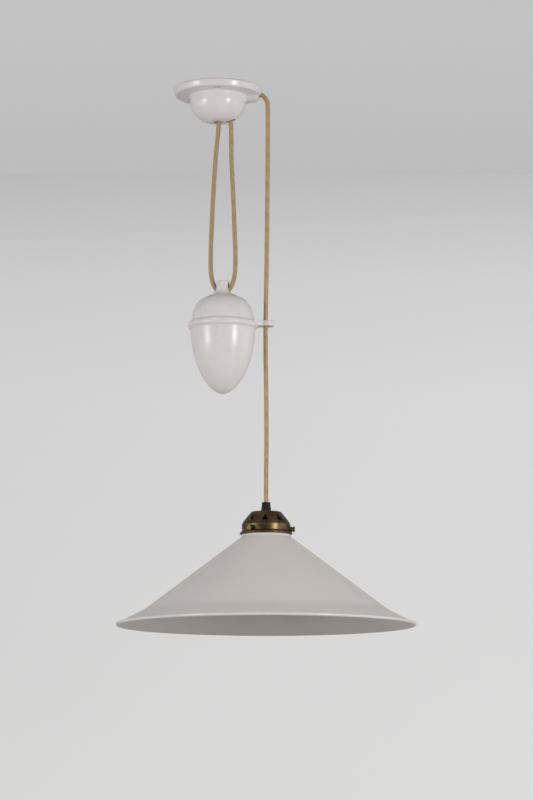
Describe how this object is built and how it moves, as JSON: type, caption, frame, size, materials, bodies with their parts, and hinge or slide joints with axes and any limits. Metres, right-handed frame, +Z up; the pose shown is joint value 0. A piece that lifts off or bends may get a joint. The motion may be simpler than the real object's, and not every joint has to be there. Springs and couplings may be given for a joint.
{
  "type": "rise and fall pendant lamp",
  "caption": "Rise and fall pendant: porcelain ceiling rose with a side spout, one braided flex, porcelain counterweight with a guide ring, brass gallery and a coolie shade of opal glass.",
  "frame": {"origin": "on the ceiling's face, midway between the rose's two fixing screws, at the axis of the rose's round bowl", "axes": "+Z up, out of the ceiling face of the rose; +X from the bowl towards the spout and the lamp; +Y away from the viewer of the reference picture"},
  "size_m": [0.3999, 0.4, 0.7656],
  "materials": {
    "white_porcelain": "white glaze, gloss",
    "opal_glass": "white opal glass, satin gloss",
    "aged_brass": "dark aged brass, rubbed bright on its edges",
    "bright_brass": "plain turned and pressed brass",
    "zinc_steel": "zinc-plated steel",
    "black_plastic": "satin black",
    "flex_braid": "braided cotton-like cover, tan and gold",
    "core_sleeves": "coloured sleeves of the flex's cores",
    "cement": "dull grey cement",
    "shot": "dark iron shot, packed"
  },
  "bodies": {
    "rose": {"ceiling_rose": "white_porcelain", "rose_screws": "zinc_steel", "rose_strap": "zinc_steel", "rose_pulley_pin": "zinc_steel", "flex_clamp_bar": "zinc_steel", "flex_clamp_screws": "zinc_steel", "terminal_block": "white_porcelain", "terminal_tubes": "bright_brass", "terminal_screws": "zinc_steel", "terminal_block_screw": "zinc_steel", "rose_flex_end": "flex_braid", "rose_cores": "core_sleeves", "flex_over_pulley": "flex_braid", "flex_fixed_strand": "flex_braid", "flex_running_strand": "flex_braid", "flex_drop": "flex_braid"},
    "rose_pulley": {"rose_pulley": "bright_brass"},
    "counterweight": {"flex_weight_loop": "flex_braid", "weight_cap": "white_porcelain", "weight_cup": "white_porcelain", "weight_cement": "cement", "weight_shot": "shot", "weight_roller_pin": "zinc_steel"},
    "weight_roller": {"weight_roller": "bright_brass"},
    "lamp": {"flex_grip": "black_plastic", "flex_tail": "flex_braid", "gallery": "aged_brass", "holder_cap": "bright_brass", "holder_cores": "core_sleeves", "holder_insert": "white_porcelain", "holder_contacts": "bright_brass", "holder_screws": "zinc_steel", "holder_thread": "bright_brass", "holder_shell": "black_plastic", "glass_shade": "opal_glass"},
    "thumbscrew_1": {"thumbscrew_1": "aged_brass"},
    "thumbscrew_2": {"thumbscrew_2": "aged_brass"},
    "thumbscrew_3": {"thumbscrew_3": "aged_brass"}
  },
  "joints": [
    {"name": "lamp_travel", "type": "slide", "parent": "rose", "child": "lamp", "axis": [0, 0, 1], "range_m": [-0.34, 0.12], "deforming": ["flex_drop"]},
    {"name": "counterweight_travel", "type": "slide", "parent": "rose", "child": "counterweight", "axis": [0, 0, 1], "range_m": [-0.06, 0.17], "deforming": ["flex_fixed_strand", "flex_running_strand"]},
    {"name": "rose_pulley_turn", "type": "hinge", "parent": "rose", "child": "rose_pulley", "pos_m": [0.0255, 0, -0.0197], "axis": [0, 1, 0], "range_deg": [-660, 1860]},
    {"name": "weight_roller_turn", "type": "hinge", "parent": "counterweight", "child": "weight_roller", "pos_m": [0.0075, 0, -0.276], "axis": [0.2079, 0.9781, 0], "range_deg": [-1395, 495]},
    {"name": "thumbscrew_1_slide", "type": "slide", "parent": "lamp", "child": "thumbscrew_1", "axis": [-0.5878, -0.809, 0], "range_m": [0, 0.004]},
    {"name": "thumbscrew_2_slide", "type": "slide", "parent": "lamp", "child": "thumbscrew_2", "axis": [0.9945, -0.1045, 0], "range_m": [0, 0.004]},
    {"name": "thumbscrew_3_slide", "type": "slide", "parent": "lamp", "child": "thumbscrew_3", "axis": [-0.4067, 0.9136, 0], "range_m": [0, 0.004]}
  ],
  "couplings": [
    {"joint": "counterweight_travel", "follows": "lamp_travel", "ratio": -0.5},
    {"joint": "rose_pulley_turn", "follows": "lamp_travel", "rad_per_m": -95.24},
    {"joint": "weight_roller_turn", "follows": "lamp_travel", "rad_per_m": 71.43}
  ]
}
